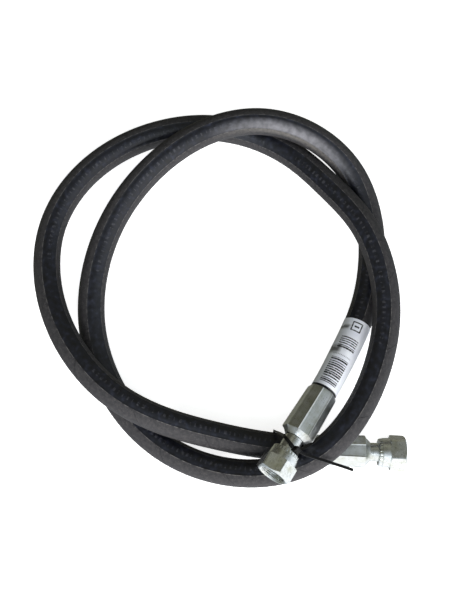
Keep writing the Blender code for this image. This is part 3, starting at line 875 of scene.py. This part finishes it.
def nut_rings(place, roll):
    """The nut's rings from its rear, over the outside, to its mouth and back through the thread."""
    sides = 144
    turns = [roll + 2 * math.pi * share for share in even(sides)]
    sixth = math.pi / 3
    corners = [NUT_APOTHEM / math.cos((t - roll) % sixth - sixth / 2) for t in turns]
    hexagon = [min(c, NUT_CORNER) for c in corners]
    rings, along = [], []

    def ring(us, radii):
        rings.append([place(u, r, t) for u, r, t in zip(us, radii, turns)])
        along.append(us[0])

    def even_ring(u, radius, notch=0.0):
        dents = [max(0.0, math.cos(24 * t)) for t in turns]
        ring([u] * sides, [radius - notch * d for d in dents])

    for u, radius, notch in (
        (0.0, 10.6, 0.0),
        (0.25, 11.2, 0.1),
        (0.8, 11.6, 0.28),
        (2.4, 11.8, 0.32),
        (3.1, 11.85, 0.15),
        (3.4, 12.15, 0.0),
        (9.0, 12.5, 0.0),
        (9.7, 12.6, 0.0),
        (9.7, 13.1, 0.0),
    ):
        even_ring(u * MM, radius * MM, notch * MM)
    ring([NUT_COLLAR_LENGTH + 0.45 * max(0.0, h - 14.3 * MM) for h in hexagon], hexagon)
    fall = math.tan(math.radians(30))
    ring([NUT_LENGTH - (h - NUT_FACE_RADIUS) * fall for h in hexagon], hexagon)
    for u, radius in ((23.0, 12.7), (23.0, 11.7), (22.8, 11.45), (22.1, 10.75)):
        even_ring(u * MM, radius * MM)
    for u in np.arange(22.0 * MM, 11.6 * MM, -THREAD_PITCH / 8).tolist():
        waves = [math.cos(2 * math.pi * u / THREAD_PITCH - t) for t in turns]
        ring([u] * sides, [THREAD_RADIUS + THREAD_DEPTH * w for w in waves])
    for u, radius in ((11.5, 11.2), (3.1, 11.2), (3.0, 8.3), (0.3, 8.3), (0.0, 8.6)):
        even_ring(u * MM, radius * MM)
    return rings, along, even(sides)


def make_nut(number, material):
    to_row = fitting_point(number)

    def place(u, radius, angle):
        return to_row(NUT_REAR[number] + u, radius, angle)

    mesh = grid("nut", *nut_rings(place, math.radians(NUT_ROLL[number])))
    return finish_piece(
        f"threaded_nut_{number}",
        mesh,
        f"nut_{number}",
        [f"swivel_nut_{number}"],
        [material],
        22.0,
    )


# ---------------------------------------------------------------- the cable tie


def around(centre, across, height, angles):
    """Points of an upright ellipse, at the given angles in degrees from its half width."""
    up = Vector((0, 0, height))
    turns = [math.radians(a) for a in angles]
    return [centre + math.cos(a) * across + math.sin(a) * up for a in turns]


def tie_loop():
    """The loop's points, from the left of the neck over its top and round the hose below.

    With them come the outward directions, away from the neck's axis or the hose's.
    """
    first = Vector(heading(*FITTING_HEADINGS[1]))
    neck, hose = Vector(ROUTE[0]) + first * TIE_ON_NECK, Vector(TIE_ROUND_HOSE)
    over = around(neck, Vector(TIE_NECK_ACROSS), TIE_NECK_UP, range(180, -41, -20))
    between = [Vector(p) for p in TIE_BETWEEN]
    under = around(hose, Vector(TIE_HOSE_ACROSS), TIE_HOSE_UP, range(186, 371, 23))
    outward = [p - neck - (p - neck).project(first) for p in over]
    for p in between:
        outward.append(p - hose.lerp(neck, (p.z - hose.z) / (neck.z - hose.z)))
    outward += [p - hose for p in under]
    return [*over, *between, *under], [v.normalized() for v in outward]


def strap_rings(points, normals, section, closed=False):
    """Rings of a flat strap with eased edges, its thickness along each normal."""
    count = len(points)
    wide, thick = section[0] / 2, section[1] / 2
    ease_by = 0.3 * thick
    shape = []
    for a, b in ((1, 1), (-1, 1), (-1, -1), (1, -1)):
        inset = [(a * (wide - ease_by), b * thick), (a * wide, b * (thick - ease_by))]
        shape += inset if a * b < 0 else inset[::-1]
    rings, along, gone = [], [], 0.0
    for i, (point, normal) in enumerate(zip(points, normals)):
        before = points[i - 1] if closed or i else point
        after = points[(i + 1) % count] if closed or i < count - 1 else point
        tangent = (after - before).normalized()
        side = tangent.cross(normal).normalized()
        up = side.cross(tangent).normalized()
        gone += (point - before).length if i else 0.0
        rings.append([point + a * side + b * up for a, b in shape])
        along.append(gone)
    return rings, along


def capped(mesh):
    """Close the open ends of a strap."""
    bm = bmesh.new()
    bm.from_mesh(mesh)
    bmesh.ops.holes_fill(bm, edges=[e for e in bm.edges if e.is_boundary], sides=0)
    bm.to_mesh(mesh)
    bm.free()
    return mesh


def tie_head(at, out, side, run):
    """The box that locks the strap, with eased edges. Its inner face lies on the strap's."""
    bm = bmesh.new()
    centre = at + out * (TIE_HEAD[0] / 2 - TIE_SECTION[1] / 2)
    for a in (-0.5, 0.5):
        for b in (-0.5, 0.5):
            for c in (-0.5, 0.5):
                bm.verts.new(centre + a * TIE_HEAD[0] * out + b * TIE_HEAD[1] * side + c * TIE_HEAD[2] * run)
    bmesh.ops.convex_hull(bm, input=bm.verts)
    bmesh.ops.dissolve_limit(bm, angle_limit=0.01, verts=bm.verts, edges=bm.edges)
    bmesh.ops.bevel(bm, geom=bm.edges, offset=0.6 * MM, segments=3, profile=0.5, affect="EDGES")
    mesh = bpy.data.meshes.new("tie_head")
    bm.to_mesh(mesh)
    bm.free()
    mesh.uv_layers.new(name="UVMap")
    return mesh


def make_tie(material):
    points, outward = tie_loop()
    count = len(points)
    loop_rings, loop_along = strap_rings(
        smooth(points, 4, True), smooth(outward, 4, True), TIE_SECTION, True
    )
    shares = even(len(loop_rings[0]))
    parts = [grid("tie_loop", loop_rings, loop_along, shares)]

    at, out = points[TIE_HEAD_AT], outward[TIE_HEAD_AT]
    run = (points[(TIE_HEAD_AT + 1) % count] - points[TIE_HEAD_AT - 1]).normalized()
    side = run.cross(out).normalized()
    out = side.cross(run)
    parts.append(tie_head(at, out, side, run))

    path = [at + out * TIE_TAIL_LIFT, *(Vector(p) for p in TIE_TAIL)]
    ups = [out, *(Vector(TIE_TAIL_UP) for _ in TIE_TAIL)]
    tail_section = (TIE_SECTION[0] - 0.2 * MM, TIE_SECTION[1])
    tail_rings, tail_along = strap_rings(smooth(path, 6), smooth(ups, 6), tail_section)
    parts.append(capped(grid("tie_tail", tail_rings, tail_along, shares, loop=False)))

    whole = bmesh.new()
    for part in parts:
        whole.from_mesh(part)
    mesh = bpy.data.meshes.new("tie")
    whole.to_mesh(mesh)
    whole.free()
    return finish_piece("nylon_tie", mesh, "hose", ["cable_tie"], [material], 35.0)


# ---------------------------------------------------------------- camera, light and floor


def make_camera():
    elevation = math.radians(CAMERA_ELEVATION)
    back = Vector((0, -math.cos(elevation), math.sin(elevation)))
    camera = bpy.data.objects.new("camera", bpy.data.cameras.new("camera"))
    camera.data.sensor_width = CAMERA_SENSOR
    camera.data.lens = CAMERA_LENS
    camera.location = Vector(CAMERA_TARGET) + CAMERA_DISTANCE * back
    camera.rotation_mode = "QUATERNION"
    camera.rotation_quaternion = (-back).to_track_quat("-Z", "Y")
    bpy.context.scene.collection.objects.link(camera)
    bpy.context.scene.camera = camera


def make_light(name, azimuth, elevation, distance, size, power, colour, in_reflections):
    """A square soft light that faces the middle of the coil."""
    a, e = math.radians(azimuth), math.radians(elevation)
    back = Vector((math.cos(a) * math.cos(e), math.sin(a) * math.cos(e), math.sin(e)))
    lamp = bpy.data.lights.new(name, "AREA")
    lamp.size = size
    lamp.energy = power
    lamp.color = colour
    light = bpy.data.objects.new(name, lamp)
    light.location = back * distance
    light.visible_glossy = in_reflections
    light.rotation_mode = "QUATERNION"
    light.rotation_quaternion = (-back).to_track_quat("-Z", "Y")
    bpy.context.scene.collection.objects.link(light)


def make_world():
    """Soft surroundings: light on the side of the fittings, dark and a little olive on the other."""
    world = bpy.data.worlds.new("studio")
    world.use_nodes = True
    nodes, links = world.node_tree.nodes, world.node_tree.links
    split = nodes.new("ShaderNodeSeparateXYZ")
    links.new(nodes.new("ShaderNodeTexCoord").outputs["Generated"], split.inputs[0])
    side, lean = nodes.new("ShaderNodeMath"), nodes.new("ShaderNodeMath")
    for new, output, share in ((side, 1, LIGHT_FROM[1]), (lean, 0, LIGHT_FROM[0])):
        new.operation = "MULTIPLY_ADD"
        links.new(split.outputs[output], new.inputs[0])
        new.inputs[1].default_value = share
    side.inputs[2].default_value = 0.5
    links.new(side.outputs[0], lean.inputs[2])
    ramp = nodes.new("ShaderNodeValToRGB")
    links.new(lean.outputs[0], ramp.inputs["Fac"])
    elements = ramp.color_ramp.elements
    while len(elements) < len(SURROUNDINGS):
        elements.new(1.0)
    for element, (position, colour) in zip(elements, SURROUNDINGS):
        element.position = position
        element.color = (*colour, 1.0)
    background = nodes["Background"]
    links.new(ramp.outputs["Color"], background.inputs["Color"])
    background.inputs["Strength"].default_value = SURROUNDINGS_STRENGTH
    bpy.context.scene.world = world


def set_stage(name, material):
    """Name the newest object, give it the material, and keep it out of the pieces' reflections."""
    obj = bpy.context.object
    obj.name = name
    obj.visible_glossy = False
    obj.visible_diffuse = False
    obj.data.materials.append(material)
    return obj


def make_studio():
    make_light("key", -85, 30, 1.5, 0.9, 25.0, (1.0, 0.98, 0.95), False)
    make_light("sheen", -110, 50, 1.5, 0.35, 2.0, (0.85, 0.92, 1.0), True)
    make_world()
    white = floor_white()
    bpy.ops.mesh.primitive_plane_add(size=FLOOR_SIZE)
    set_stage("floor", white)
    bpy.ops.mesh.primitive_uv_sphere_add(radius=BACKDROP_RADIUS, segments=48, ring_count=24)
    backdrop = set_stage("backdrop", white)
    backdrop.visible_shadow = False
    bpy.context.scene.view_settings.view_transform = "Standard"


def main():
    make_camera()
    line = hose_line()
    cover = make_cover(line, wrapped_rubber(), band_rubber())
    inner_rubber = plain_rubber("inner_rubber", 14, 0.55)
    braids = {"inner_wire_braid": wire_braid("inner_braid_wire", 1.0)}
    braids["outer_wire_braid"] = wire_braid("outer_braid_wire", 1.15)
    carried = []
    for name, radii in LAYERS.items():
        carried.append(make_layer(name, radii, line, braids.get(name, inner_rubber)))
    make_label(line, label_paper())

    turned_zinc = zinc("turned_zinc", 2600.0, 6.0, 0.4, 0.24)
    crimped_zinc = zinc("crimped_zinc", 40.0, 260.0, 0.3, 0.36)
    nut_zinc = zinc("nut_zinc", 420.0, 40.0, 0.2, 0.26)
    seal_rubber = plain_rubber("seal_rubber", 10, 0.4)
    for number in FITTING_HEADINGS:
        pieces = [
            make_ferrule(number, crimped_zinc),
            make_insert(number, turned_zinc),
            make_seal(number, seal_rubber),
            make_nut(number, nut_zinc),
        ]
        if number == 2:
            carried += pieces
    make_tie(tie_nylon())

    path = [tuple(p) for p in line[0]]
    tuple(path[0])
    make_studio()


main()
